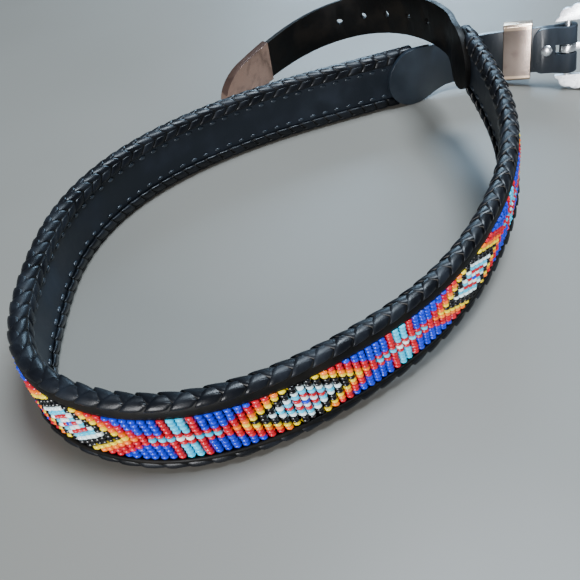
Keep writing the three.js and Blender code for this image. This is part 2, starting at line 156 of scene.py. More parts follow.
class MaterialTree:
    """A new material, and the one way that its nodes are added."""

    def __init__(self, name: str) -> None:
        """Makes the material with its output and its shader.

        Args:
            name: the material's name.
        """
        self.material = bpy.data.materials.new(name)
        self.material.use_nodes = True
        self.tree = self.material.node_tree
        self.shader = self.tree.nodes["Principled BSDF"]

    def node(self, kind: str, settings: dict, inputs: dict, output: int | str = 0) -> Socket:
        """Adds a node.

        Args:
            kind: the node's type.
            settings: its own properties, set first.
            inputs: values or sockets, by the input's name or number.
            output: the output's name or number.

        Returns:
            The chosen output.
        """
        bare = {key: value.socket if isinstance(value, Socket) else value for key, value in inputs.items()}
        return Socket(self, add_node(self.tree, kind, settings, bare).outputs[output])

    def place(self, stretch: Triple = (1.0, 1.0, 1.0)) -> Socket:
        """Object coordinates, in metres, stretched.

        Args:
            stretch: a factor for each axis.

        Returns:
            The coordinates.
        """
        bare = self.node("ShaderNodeTexCoord", {}, {}, "Object")
        return self.node("ShaderNodeMapping", {}, {"Vector": bare, "Scale": stretch})

    def noise(self, vector: Socket, size: float, detail: float = 3.0) -> Socket:
        """Noise whose lumps are about a size in metres.

        Args:
            vector: the coordinates.
            size: the lumps' size.
            detail: how many finer layers it has.

        Returns:
            The noise, 0 to 1.
        """
        inputs = {"Vector": vector, "Scale": 1 / size, "Detail": detail}
        return self.node("ShaderNodeTexNoise", {}, inputs, "Fac")

    def cells(self, vector: Socket, size: float) -> Socket:
        """Distances to the cells of a Voronoi pattern.

        Args:
            vector: the coordinates.
            size: the cells' size in metres.

        Returns:
            The distance.
        """
        inputs = {"Vector": vector, "Scale": 1 / size}
        return self.node("ShaderNodeTexVoronoi", {"feature": "F1"}, inputs, "Distance")

    def span(self, value: Socket, low: float, high: float,
             to_low: float = 0.0, to_high: float = 1.0) -> Socket:
        """Maps a stretch of values to another, smoothly and within its ends.

        Args:
            value: what is mapped.
            low: where the stretch starts.
            high: where it ends.
            to_low: the result at its start.
            to_high: the result at its end.

        Returns:
            The mapped value.
        """
        inputs = {"Value": value, 1: low, 2: high, 3: to_low, 4: to_high}
        return self.node("ShaderNodeMapRange", {"interpolation_type": "SMOOTHSTEP"}, inputs)

    def mix(self, factor: Socket, first: object, second: object) -> Socket:
        """Mixes two colours.

        Args:
            factor: 0 for the first, 1 for the second.
            first: a colour or socket.
            second: a colour or socket.

        Returns:
            The mixed colour.
        """
        return self.node("ShaderNodeMix", {"data_type": "RGBA"}, {0: factor, 6: first, 7: second}, 2)

    def bump(self, height: Socket, depth: float) -> None:
        """Feeds a height to the shader's normal.

        Args:
            height: the height, about 0 to 1.
            depth: what a height of 1 is, in metres.
        """
        inputs = {"Height": height, "Distance": depth, "Strength": 1.0}
        self.set({"Normal": self.node("ShaderNodeBump", {}, inputs)})

    def set(self, inputs: dict) -> None:
        """Sets or links the shader's own sockets.

        Args:
            inputs: values or sockets, by the input's name.
        """
        for name, value in inputs.items():
            if isinstance(value, Socket):
                self.tree.links.new(value.socket, self.shader.inputs[name])
            else:
                self.shader.inputs[name].default_value = value


@dataclass(frozen=True)
class Leather:
    """Dyed leather with a fine grain, creases and a rubbed gloss.

    Sizes are in metres. A stretch of noise, from one value to another, says where the leather is
    worn or dull. From dull_from on, along x, the leather gets duller by dull_by.
    """

    name: str
    dye: Colour = (0.0025, 0.003, 0.0045, 1.0)
    worn: Colour = (0.007, 0.009, 0.013, 1.0)
    gloss: float = 0.30
    dull: float = 0.48
    grain: float = 0.0007
    grain_depth: float = 0.00005
    patch: float = 0.012
    coat: float = 0.12
    shine: float = 0.36
    cut: Colour = (0.085, 0.080, 0.074, 1.0)
    cut_attribute: str = ""
    dull_from: float = 1.0
    dull_over: float = 0.004
    dull_by: float = 0.35
    worn_stretch: Pair = (0.42, 0.72)
    dull_stretch: Pair = (0.35, 0.65)
    cut_stretch: Pair = (0.6, 1.0)
    wrinkle_scale: Triple = (1.0, 1.0, 0.45)
    wrinkle_grains: float = 4.0
    wrinkle_gloss: float = 0.12
    wrinkle_height: float = 0.8
    pore_height: float = 0.5
    coat_roughness: float = 0.22

    def build(self) -> Material:
        """Makes the material.

        Returns:
            The material.
        """
        tree = MaterialTree(self.name)
        place = tree.place()
        patches = tree.noise(place, self.patch, detail=4.0)
        pores = tree.cells(place, self.grain)
        wrinkles = tree.noise(tree.place(self.wrinkle_scale), self.grain * self.wrinkle_grains, detail=5.0)
        colour = tree.mix(tree.span(patches, *self.worn_stretch), self.dye, self.worn)
        if self.cut_attribute:
            raw = tree.node("ShaderNodeAttribute", {"attribute_name": self.cut_attribute}, {}, "Fac")
            # The cut attribute gives the raw edges' own paler colour, faded towards each turn's foot as
            # painted shade.
            colour = tree.mix(tree.span(raw, *self.cut_stretch), colour, self.cut)
        along = tree.node("ShaderNodeSeparateXYZ", {}, {0: place}, "X")
        dulled = tree.span(along, self.dull_from, self.dull_from + self.dull_over)
        rough = tree.span(patches, *self.dull_stretch, self.gloss, self.dull)
        rough = rough + (wrinkles - 0.5) * self.wrinkle_gloss
        tree.set({
            "Base Color": colour,
            "Roughness": rough + dulled * self.dull_by,
            "Coat Weight": self.coat - dulled * self.coat,
            "Coat Roughness": self.coat_roughness,
            "Specular IOR Level": self.shine,
        })
        tree.bump(pores * self.pore_height + wrinkles * self.wrinkle_height, self.grain_depth)
        return tree.material


@dataclass(frozen=True)
class Glass:
    """Opaque glossy glass whose colour is the bead's own."""

    name: str
    attribute: str
    roughness: Pair = (0.112, 0.224)
    rough_stretch: Pair = (0.3, 0.7)
    swirl: float = 0.0009
    swirl_depth: float = 0.00001
    streak: Colour = (0.9, 0.92, 0.95, 1.0)
    streak_stretch: Pair = (0.5, 0.85)
    streak_share: float = 0.03
    coat: float = 0.20
    coat_roughness: float = 0.08
    refraction: float = 1.48

    def build(self) -> Material:
        """Makes the material.

        Returns:
            The material.
        """
        tree = MaterialTree(self.name)
        colour = tree.node("ShaderNodeAttribute", {"attribute_name": self.attribute}, {}, "Color")
        streaks = tree.noise(tree.place(), self.swirl, detail=2.0)
        shown = tree.span(streaks, *self.streak_stretch, 0.0, self.streak_share)
        tree.set({
            "Base Color": tree.mix(shown, colour, self.streak),
            "Roughness": tree.span(streaks, *self.rough_stretch, *self.roughness),
            "Coat Weight": self.coat,
            "Coat Roughness": self.coat_roughness,
            "IOR": self.refraction,
        })
        tree.bump(streaks, self.swirl_depth)
        return tree.material


@dataclass(frozen=True)
class Metal:
    """Polished plated metal with fine scratches and a little tarnish."""

    name: str
    plate: Colour
    tarnish: Colour
    roughness: float = 0.18
    relief: float = 0.00001
    cloud: float = 0.006
    cloud_gloss: float = 0.08
    tarnish_stretch: Pair = (0.45, 0.75)
    tarnish_share: float = 0.8
    scratch: float = 0.004
    scratch_scale: Triple = (1.0, 1.0, 14.0)
    scratch_gloss: float = 0.14

    def colour(self, tree: MaterialTree, clouds: Socket) -> Socket:
        """The metal's colour.

        Args:
            tree: the material's tree.
            clouds: the noise that its tarnish follows.

        Returns:
            The colour.
        """
        tarnished = tree.span(clouds, *self.tarnish_stretch, 0.0, self.tarnish_share)
        return tree.mix(tarnished, self.plate, self.tarnish)

    def build(self) -> Material:
        """Makes the material.

        Returns:
            The material.
        """
        tree = MaterialTree(self.name)
        clouds = tree.noise(tree.place(), self.cloud, detail=5.0)
        scratches = tree.noise(tree.place(self.scratch_scale), self.scratch, detail=6.0)
        rough = self.roughness + (scratches - 0.5) * self.scratch_gloss + (clouds - 0.5) * self.cloud_gloss
        tree.set({"Base Color": self.colour(tree, clouds), "Metallic": 1.0, "Roughness": rough})
        tree.bump(scratches + clouds, self.relief)
        return tree.material


@dataclass(frozen=True)
class HighlitRimMetal(Metal):
    """Plated metal whose two rims, above and below its middle, are polished brighter.

    axis points across both rims, from one to the other. middle and highlight_from are distances along it, in
    metres.
    """

    axis: Triple = (0.0, 0.0, 1.0)
    middle: float = 0.0
    highlight_from: float = 0.0134
    highlight_blend: float = 0.0004
    rim_highlight: Colour = (1.0, 0.74, 0.55, 1.0)

    def colour(self, tree: MaterialTree, clouds: Socket) -> Socket:
        """The metal's colour, with a painted highlight at the rims.

        Args:
            tree: the material's tree.
            clouds: the noise that its tarnish follows.

        Returns:
            The colour.
        """
        inputs = {0: tree.place(), 1: self.axis}
        up = tree.node("ShaderNodeVectorMath", {"operation": "DOT_PRODUCT"}, inputs, "Value")
        away = tree.node("ShaderNodeMath", {"operation": "ABSOLUTE"}, {0: up - self.middle})
        # Painted highlight: the rims get a brighter colour for the light that their curved edges catch.
        at_rim_highlight = tree.span(away, self.highlight_from - self.highlight_blend, self.highlight_from + self.highlight_blend)
        return tree.mix(at_rim_highlight, super().colour(tree, clouds), self.rim_highlight)


@dataclass(frozen=True)
class Floor:
    """A plain pale matt floor."""

    name: str = "pale_floor"
    colour: Colour = (0.165, 0.155, 0.135, 1.0)
    patch: float = 0.15
    patch_stretch: Pair = (0.3, 0.7)
    roughness: Pair = (0.5, 0.6)

    def build(self) -> Material:
        """Makes the material.

        Returns:
            The material.
        """
        tree = MaterialTree(self.name)
        patches = tree.noise(tree.place(), self.patch)
        rough = tree.span(patches, *self.patch_stretch, *self.roughness)
        tree.set({"Base Color": self.colour, "Roughness": rough})
        return tree.material


@dataclass(frozen=True)
class Guide:
    """A guide point of the route.

    x and y are shares of half the loop's width and depth, rise is the lower edge's height in
    millimetres, and lean is the outward lean in degrees.
    """

    x: float
    y: float
    rise: float
    lean: float


@dataclass
class Route:
    """The line that the belt follows, a cubic B-spline through its guide points."""

    belt_width: float = 34.0
    loop_width: float = 220.0
    loop_depth: float = 250.0
    buckle_height: float = 48.0
    bar_at: float = 30.5
    stud_from_bar: float = 11.5
    steps: int = 30
    shift: np.ndarray = field(init=False)
    samples: np.ndarray = field(init=False)
    lengths: np.ndarray = field(init=False)

    def guides(self) -> list[Guide]:
        """The guide points, from the buckle to the metal tip.

        Returns:
            The points, in order.
        """
        lift = (self.buckle_height - self.belt_width) / 2
        wide = self.belt_width
        return [
            Guide(1.90, 0.76, 1.60 * lift, 14),
            Guide(1.54, 0.905, 0.56 * lift, 9),
            Guide(1.25, 1.03, 0.09 * lift, 4),
            Guide(0.92, 0.98, 0, 0),
            Guide(0.57, 0.89, 0, 0),
            Guide(0.21, 0.81, 0, 0),
            Guide(-0.155, 0.69, 0, -1),
            Guide(-0.49, 0.52, 0, -2),
            Guide(-0.755, 0.29, 0, -2),
            Guide(-0.905, -0.01, 0, 0),
            Guide(-0.92, -0.33, 0, 3),
            Guide(-0.915, -0.63, 0, 2),
            Guide(-0.78, -0.835, 0, 0),
            Guide(-0.49, -0.965, 0, 0),
            Guide(-0.17, -0.955, 0, 0),
            Guide(0.165, -0.835, 0.03 * wide, 1),
            Guide(0.47, -0.685, 0.12 * wide, 1),
            Guide(0.70, -0.48, 0.26 * wide, 0),
            Guide(0.875, -0.25, 0.41 * wide, -2),
            Guide(0.985, 0, 0.55 * wide, -6),
            Guide(1.01, 0.285, 0.69 * wide, -8),
            Guide(0.995, 0.575, 0.82 * wide, -7),
            Guide(0.985, 0.85, 0.905 * wide, -8),
            Guide(0.865, 1.13, 0.865 * wide, -12),
            Guide(0.645, 1.365, 0.65 * wide, -12),
            Guide(0.325, 1.41, 0.40 * wide, -10),
            Guide(0.02, 1.26, 0.15 * wide, -11),
            Guide(-0.22, 1.01, -0.05 * wide, -11),
        ]

    def __post_init__(self) -> None:
        """Works out the route's samples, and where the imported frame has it."""
        rows = np.array([
            (guide.x * self.loop_width / 2, guide.y * self.loop_depth / 2, guide.rise, guide.lean)
            for guide in self.guides()
        ])
        rows = np.vstack([2 * rows[0] - rows[1], rows, 2 * rows[-1] - rows[-2]])
        t = np.arange(self.steps)[:, None] / self.steps
        weights = np.hstack([
            (1 - t) ** 3, 3 * t**3 - 6 * t**2 + 4, -3 * t**3 + 3 * t**2 + 3 * t + 1, t**3,
        ]) / 6
        curves = [weights @ rows[i:i + 4] for i in range(len(rows) - 3)]
        self.samples = np.vstack([*curves, rows[-2]])
        hops = np.linalg.norm(np.diff(self.samples[:, :3], axis=0), axis=1)
        self.lengths = np.concatenate([[0.0], np.cumsum(hops)])
        self.shift = np.zeros(3)
        low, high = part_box("billet_stud")
        middle = np.array((low + high) / 2) / MM
        stud = np.array([[self.bar_at + self.stud_from_bar, 0.0, self.belt_width / 2]])
        self.shift = (middle - self.lay(stud)[0] / MM) * (1, 1, 0)

    @property
    def length(self) -> float:
        """The route's whole length."""
        return float(self.lengths[-1])

    def values(self, s: np.ndarray) -> np.ndarray:
        """x, y, rise and lean at lengths along the route."""
        return np.stack([np.interp(s, self.lengths, self.samples[:, k]) for k in range(4)], axis=1)

    def axes(self, s: np.ndarray) -> tuple[np.ndarray, np.ndarray, np.ndarray]:
        """The belt's own axes.

        Args:
            s: lengths along the route.

        Returns:
            Ahead along it, outward and level, and up its face, one row each for each length.
        """
        ahead = (self.values(s + 1) - self.values(s - 1))[:, :3]
        ahead /= np.linalg.norm(ahead, axis=1, keepdims=True)
        outward = np.stack([ahead[:, 1], -ahead[:, 0], np.zeros(len(s))], axis=1)
        outward /= np.linalg.norm(outward, axis=1, keepdims=True)
        lean = np.radians(self.values(s)[:, 3:4])
        up = np.cross(outward, ahead) * np.cos(lean) + outward * np.sin(lean)
        return ahead, outward, up

    def lay(self, points: np.ndarray) -> np.ndarray:
        """Lays points of the straight belt along the route.

        Args:
            points: rows of s, n and h in millimetres.

        Returns:
            Rows of x, y and z in metres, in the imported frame.
        """
        s, n, h = points.T
        _, outward, up = self.axes(s)
        return (self.values(s)[:, :3] + outward * n[:, None] + up * h[:, None] + self.shift) * MM


@dataclass
class Strap:
    """The belt's layers, as distances outwards from the route, and where the laced belt starts and ends."""

    route: Route
    billet_length: float = 96.5
    tail_length: float = 220.0
    backing: float = 2.2
    lining: float = 1.5
    bead_panel: float = 2.9
    bead_panel_width: float = 21.0
    gap: float = 0.3
    keeper_from_bar: float = 40.0

    @property
    def start(self) -> float:
        """Where the laced belt starts."""
        return self.route.bar_at + self.billet_length

    @property
    def end(self) -> float:
        """Where the laced belt ends."""
        return self.route.length - self.tail_length

    @property
    def keeper_at(self) -> float:
        """Where the keeper's middle is."""
        return self.route.bar_at + self.keeper_from_bar

    @property
    def half(self) -> float:
        """Half the belt's width."""
        return self.route.belt_width / 2

    @property
    def lining_outer(self) -> float:
        """The lining's outer face."""
        return -self.backing / 2 - self.gap

    @property
    def lining_inner(self) -> float:
        """The lining's inner face."""
        return self.lining_outer - self.lining

    @property
    def panel_inner(self) -> float:
        """The bead panel's inner face."""
        return self.backing / 2 + self.gap

    @property
    def panel_outer(self) -> float:
        """The bead panel's outer face."""
        return self.panel_inner + self.bead_panel

    def tongue_half(self, s: np.ndarray) -> np.ndarray:
        """Half the height of the two tongues on the lining.

        Args:
            s: lengths along the route.

        Returns:
            The height at each length, 0 where there is no tongue.
        """
        depth = np.maximum(np.minimum(s - self.start, self.end - s), 0.0)
        reach = self.half + 2 * self.gap
        return np.sqrt(np.maximum(reach**2 - depth**2, 0.0))


class Maker:
    """The straight belt's mesh tools: new objects, repeats and laying along the route."""

    def __init__(self, route: Route, nodes: dict) -> None:
        """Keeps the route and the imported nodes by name."""
        self.route = route
        self.nodes = nodes

    @staticmethod
    def linked(name: str, data: ID) -> Object:
        """Makes an object and links it to the scene.

        Args:
            name: the object's name.
            data: its mesh, light or camera.

        Returns:
            The new object.
        """
        made = bpy.data.objects.new(name, data)
        bpy.context.scene.collection.objects.link(made)
        return made

    @staticmethod
    def smooth(piece: Object) -> None:
        """Shades the piece's faces smooth."""
        for polygon in piece.data.polygons:
            polygon.use_smooth = True

    @classmethod
    def unit(cls, name: str, work: bmesh.types.BMesh) -> Object:
        """Makes a smooth object from a work mesh.

        Args:
            name: the object's name.
            work: the work mesh, which is freed.

        Returns:
            The new object.
        """
        data = bpy.data.meshes.new(name)
        work.to_mesh(data)
        work.free()
        made = cls.linked(name, data)
        cls.smooth(made)
        return made

    @classmethod
    def mesh(cls, name: str, points: np.ndarray, faces: list) -> Object:
        """Makes an object from points and faces.

        Args:
            name: the object's name.
            points: rows of three coordinates.
            faces: corner numbers of each face.

        Returns:
            The new object.
        """
        data = bpy.data.meshes.new(name)
        data.from_pydata([tuple(point) for point in points], [], faces)
        data.update()
        return cls.linked(name, data)

    @staticmethod
    def points(piece: Object) -> np.ndarray:
        """The piece's vertices.

        Args:
            piece: the piece.

        Returns:
            Rows of three coordinates.
        """
        flat = np.empty(len(piece.data.vertices) * 3)
        piece.data.vertices.foreach_get("co", flat)
        return flat.reshape(-1, 3)

    @staticmethod
    def move(piece: Object, points: np.ndarray) -> None:
        """Puts the piece's vertices at new points."""
        piece.data.vertices.foreach_set("co", points.ravel())
        piece.data.update()

    @staticmethod
    def outwards(piece: Object) -> None:
        """Points a piece's faces outwards.

        Args:
            piece: the piece.
        """
        work = bmesh.new()
        work.from_mesh(piece.data)
        bmesh.ops.recalc_face_normals(work, faces=work.faces)
        work.to_mesh(piece.data)
        work.free()

    def lay(self, piece: Object) -> None:
        """Lays a straight piece along the route and points its faces outwards."""
        self.move(piece, self.route.lay(self.points(piece)))
        self.outwards(piece)

    @staticmethod
    def bake(piece: Object) -> None:
        """Turns a piece with its modifiers into a plain mesh.

        Args:
            piece: the piece.
        """
        graph = bpy.context.evaluated_depsgraph_get()
        data = bpy.data.meshes.new_from_object(piece.evaluated_get(graph))
        piece.modifiers.clear()
        old = piece.data
        piece.data = data
        bpy.data.meshes.remove(old)

    def repeat(self, name: str, unit: Object, count: tuple[int, int],
               step: Pair, start: Triple,
               material: Material, jitter: float = 0.0) -> Object:
        """Repeats a unit along s and up h by Geometry Nodes.

        Args:
            name: the new piece's name.
            unit: the object that is repeated, which is removed.
            count: how many stand along s and up h.
            step: their distances along s and up h.
            start: the place of the first one.
            material: the piece's material.
            jitter: how much their sizes differ, as a share.

        Returns:
            The piece, a plain mesh of the straight belt.
        """
        tree = bpy.data.node_groups.new(name, "GeometryNodeTree")
        face = tree.interface
        face.new_socket("Geometry", in_out="INPUT", socket_type="NodeSocketGeometry")
        face.new_socket("Geometry", in_out="OUTPUT", socket_type="NodeSocketGeometry")
        table = {
            "Unit": ("NodeSocketObject", unit),
            "Along": ("NodeSocketInt", count[0]),
            "Up": ("NodeSocketInt", count[1]),
            "Start": ("NodeSocketVector", start),
            "Step Along": ("NodeSocketFloat", step[0]),
            "Step Up": ("NodeSocketFloat", step[1]),
            "Jitter": ("NodeSocketFloat", jitter),
            "Material": ("NodeSocketMaterial", material),
        }
        keys = {
            name: face.new_socket(name, in_out="INPUT", socket_type=kind).identifier
            for name, (kind, _) in table.items()
        }

        add = partial(add_node, tree)
        given = add("NodeGroupInput", {}, {}).outputs
        along = add("ShaderNodeCombineXYZ", {}, {"X": given["Step Along"]}).outputs[0]
        up = add("ShaderNodeCombineXYZ", {}, {"Z": given["Step Up"]}).outputs[0]
        column = add("GeometryNodeMeshLine", {}, {"Count": given["Up"], "Offset": up}).outputs[0]
        row = add("GeometryNodeMeshLine", {}, {
            "Count": given["Along"], "Start Location": given["Start"], "Offset": along,
        }).outputs[0]
        copies = add("GeometryNodeInstanceOnPoints", {}, {"Points": row, "Instance": column}).outputs[0]
        spots = add("GeometryNodeRealizeInstances", {}, {"Geometry": copies}).outputs[0]
        shape = add("GeometryNodeObjectInfo", {}, {"Object": given["Unit"]}).outputs["Geometry"]
        low = add("ShaderNodeMath", {"operation": "SUBTRACT"}, {0: 1.0, 1: given["Jitter"]}).outputs[0]
        high = add("ShaderNodeMath", {"operation": "ADD"}, {0: 1.0, 1: given["Jitter"]}).outputs[0]
        size = add("FunctionNodeRandomValue", {"data_type": "FLOAT"}, {2: low, 3: high}).outputs[1]
        placed = add("GeometryNodeInstanceOnPoints", {}, {
            "Points": spots, "Instance": shape, "Scale": size,
        }).outputs[0]
        solid = add("GeometryNodeRealizeInstances", {}, {"Geometry": placed}).outputs[0]
        dressed = add("GeometryNodeSetMaterial", {}, {
            "Geometry": solid, "Material": given["Material"],
        }).outputs[0]
        add("NodeGroupOutput", {}, {"Geometry": dressed})

        piece = self.mesh(name, np.zeros((1, 3)), [])
        modifier = piece.modifiers.new("Repeat", "NODES")
        modifier.node_group = tree
        for key, (_, value) in table.items():
            modifier[keys[key]] = value
        self.bake(piece)
        bpy.data.objects.remove(unit)
        return piece

    @staticmethod
    def seat(piece: Object, body: str, slot: Slot, *nodes: str) -> None:
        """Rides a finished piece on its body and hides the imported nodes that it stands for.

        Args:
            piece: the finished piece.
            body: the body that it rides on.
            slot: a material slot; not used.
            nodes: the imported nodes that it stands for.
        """
        if nodes:
            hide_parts(*nodes)
        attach(piece, body)
        LOG.info("%s: %d faces on %s", piece.name, len(piece.data.polygons), body)


class Bead(Enum):
    """The colours of the glass beads, as linear red, green and blue."""

    BLUE = (0.002, 0.028, 0.55)
    TURQUOISE = (0.01, 0.56, 0.84)
    RED = (0.52, 0.003, 0.016)
    WHITE = (0.78, 0.95, 1.0)
    BLACK = (0.004, 0.004, 0.005)
    YELLOW = (0.92, 0.68, 0.0)
    ORANGE = (0.92, 0.17, 0.0)


@dataclass
class BeadPanel:
    """The woven band of seed beads, eleven rows high.

    profile holds a bead's rings from bottom to top, as shares of its radius and half its height.
    jitter is how much the beads' sizes differ, shade how much their colours do, both as shares.
    """

    strap: Strap
    maker: Maker
    rows: int = 11
    repeat: int = 27
    pitch: float = 2.99
    diamond_at: float = 555.4
    roundness: float = 1.02
    sides: int = 8
    fill: float = 0.94
    shade: float = 0.10
    slant: float = 0.16
    slant_fade: float = 30.0
    jitter: float = 0.05
    wander: float = 0.08
    bow: float = 0.15
    seed: int = 7
    profile: tuple[Pair, ...] = (
        (0.24, -1.0), (0.77, -0.74), (1.0, 0.0), (0.77, 0.74), (0.24, 1.0),
    )

    def chart(self, column: int, row: int) -> Bead:
        """The colour of a bead: rings of colour round a diamond, with a cross half-way to the next.

        Args:
            column: the bead's column, 0 at a diamond's middle.
            row: its row, 1 at the bottom.

        Returns:
            The bead's colour.
        """
        middle = (self.rows + 1) // 2
        away = abs(row - middle)
        across = min(column, self.repeat - column)
        from_cross = abs(column - self.repeat / 2)
        if from_cross < 1:
            return {0: Bead.WHITE, 1: Bead.RED}.get(away, Bead.TURQUOISE)
        if from_cross < 2:
            return Bead.TURQUOISE if away == 0 else Bead.RED
        if from_cross < 4 and away < 2:
            return Bead.TURQUOISE if away == 0 else Bead.RED
        rings = [Bead.BLUE, Bead.WHITE, Bead.RED, Bead.TURQUOISE, Bead.WHITE, Bead.BLACK, Bead.BLACK,
                 Bead.YELLOW, Bead.ORANGE, Bead.RED, Bead.RED]
        ring = across + away
        return rings[ring] if ring < len(rings) else Bead.BLUE

    def bead(self) -> Object:
        """Makes one bead, its hole upright, round its own middle.

        Returns:
            The bead.
        """
        row_step = self.strap.bead_panel_width / self.rows
        radius = self.strap.bead_panel / 2 * self.roundness
        half = row_step / 2 * self.fill
        work = bmesh.new()
        turns = [2 * math.pi * side / self.sides for side in range(self.sides)]
        rings = [[
            work.verts.new((radius * share * math.cos(turn), radius * share * math.sin(turn), half * height))
            for turn in turns
        ] for share, height in self.profile]
        for low, high in zip(rings, rings[1:]):
            for i in range(self.sides):
                j = (i + 1) % self.sides
                work.faces.new((low[i], low[j], high[j], high[i]))
        work.faces.new(rings[0][::-1])
        work.faces.new(rings[-1])
        return self.maker.unit("bead", work)

    def build(self, glass: Glass) -> Object:
        """Strings the panel.

        Args:
            glass: the beads' finish.

        Returns:
            The panel, laid along the route.
        """
        strap = self.strap
        length = strap.end - strap.start
        columns = round(length / self.pitch)
        pitch = length / columns
        row_step = strap.bead_panel_width / self.rows
        bottom = strap.half - strap.bead_panel_width / 2
        middle = (strap.panel_inner + strap.panel_outer) / 2
        start = (strap.start + pitch / 2, middle, bottom + row_step / 2)
        piece = self.maker.repeat("bead_strip", self.bead(), (columns, self.rows), (pitch, row_step), start,
                                  glass.build(), self.jitter)
        points = self.maker.points(piece)
        column = np.clip(((points[:, 0] - strap.start) / pitch).astype(int), 0, columns - 1)
        row = np.clip(((points[:, 2] - bottom) / row_step).astype(int), 0, self.rows - 1)
        first = round((self.diamond_at - strap.start) / pitch - 0.5)
        random = np.random.default_rng(self.seed)
        tint = 1 + random.uniform(-self.shade, self.shade, (columns, self.rows))
        chart = np.array([[
            self.chart((c - first) % self.repeat, r + 1).value for r in range(self.rows)
        ] for c in range(columns)]) * tint[:, :, None]
        colours = np.ones((len(points), 4), np.float32)
        colours[:, :3] = np.clip(chart[column, row], 0, 1)
        layer = piece.data.color_attributes.new(glass.attribute, "FLOAT_COLOR", "POINT")
        layer.data.foreach_set("color", colours.ravel())
        wander = random.normal(0, self.wander, (columns, self.rows, 2))
        sway = random.normal(0, self.wander, columns)
        points[:, 0] += wander[column, row, 0] + sway[column]
        bow = self.bow * np.cos((row - (self.rows - 1) / 2) * math.pi / self.rows)
        points[:, 1] += wander[column, row, 1] + bow
        from_end = np.minimum(points[:, 0] - strap.start, strap.end - points[:, 0])
        points[:, 0] -= self.slant * (points[:, 2] - strap.half) * np.clip(from_end / self.slant_fade, 0, 1)
        self.maker.move(piece, points)
        self.maker.lay(piece)
        self.maker.seat(piece, "root", Slot.BEADS, "bead_panel")
        return piece


@dataclass(frozen=True)
class Turn:
    """One turn of lace, flat: how far it goes round the edge's section and how it slants along the belt.

    across holds its points from side to side, as shares of half its width, and drops how far they lie
    below its crown. Lengths are in millimetres, and where something starts or ends along the turn is a
    share of it.
    """

    foot: float
    tip: float
    width: float
    phase: float
    rate: float = 1.12
    lap: float = 1.0
    crown: float = 0.18
    swell: float = 0.15
    swell_at: float = 0.70
    thickness: float = 0.85
    lift: float = 0.30
    foot_sink: float = 0.4
    tip_sink: float = 1.0
    foot_taper: float = 0.0
    foot_lap: float = 1.0
    cut_unshaded_from: float = 0.20
    cut_shade_fade: float = 0.25
    cut_side: float = 0.98
    taper_rate: float = 2.2
    taper_power: float = 1.5
    lap_rate: float = 2.5
    tuck_over: float = 0.14
    tuck_power: float = 1.4
    swell_reach: float = 0.30
    rim_thinning: float = 1.1
    steps: int = 14
    across: tuple[float, ...] = (-1.0, -0.93, -0.55, 0.0, 0.55, 0.93, 1.0)
    drops: tuple[float, ...] = (0.26, 0.06, 0.0, 0.0, 0.0, 0.08, 0.34)

    def surface(self) -> tuple[np.ndarray, np.ndarray, np.ndarray]:
        """The turn's points, flat.

        Returns:
            Rows of along, lift and round, each point's slant along the belt, and 1 at its paler cut edges,
            faded to 0 towards the foot as painted shade.
        """
        t = np.linspace(0, 1, self.steps)[:, None]
        side = np.array(self.across)[None, :]
        drop = np.array(self.drops)[None, :]
        round_edge = self.foot + (self.tip - self.foot) * t
        slant = self.rate * np.abs(round_edge - self.foot)
        taper = self.foot_taper * np.clip(1 - t * self.taper_rate, 0, 1) ** self.taper_power
        along = self.phase + side * (self.width * (1 - taper)) / 2
        lap = self.lap * np.clip(self.foot_lap + t * self.lap_rate, 0, 1)
        tuck = np.clip((t - (1 - self.tuck_over)) / self.tuck_over, 0, 1)
        sink = self.tip_sink * tuck**self.tuck_power
        sink = sink + self.foot_sink * np.clip((self.tuck_over - t) / self.tuck_over, 0, 1)
        swell = self.swell * np.clip(1 - ((t - self.swell_at) / self.swell_reach) ** 2, 0, 1)
        top = self.lift - lap / 2 * side + self.crown * (1 - side**2) + swell - drop - sink
        low = top - self.thickness + drop * self.rim_thinning
        # The cut edges keep their own paler colour only away from the foot; the fade towards the foot is
        # painted shade.
        edge = (np.abs(side) > self.cut_side) * np.clip((t - self.cut_unshaded_from) / self.cut_shade_fade, 0, 1)
        layers = [
            np.stack(np.broadcast_arrays(along, height, round_edge), axis=2).reshape(-1, 3)
            for height in (top, low)
        ]
        slants = np.broadcast_to(slant, top.shape).ravel()
        edges = np.broadcast_to(edge, top.shape).ravel()
        return np.vstack(layers), np.tile(slants, 2), np.tile(edges, 2)

    def faces(self) -> list:
        """The turn's faces.

        Returns:
            The corner numbers of each face.
        """
        rows, columns = self.steps, len(self.across)
        low = rows * columns
        faces = []
        for i in range(rows - 1):
            for j in range(columns - 1):
                k = i * columns + j
                faces.append((k, k + columns, k + columns + 1, k + 1))
                faces.append((low + k, low + k + 1, low + k + columns + 1, low + k + columns))
            first, last = i * columns, (i + 1) * columns - 1
            faces.append((first, low + first, low + first + columns, first + columns))
            faces.append((last, last + columns, low + last + columns, low + last))
        for j in range(columns - 1):
            end = (rows - 1) * columns + j
            faces.append((j, j + 1, low + j + 1, low + j))
            faces.append((end, low + end, low + end + 1, end + 1))
        return faces


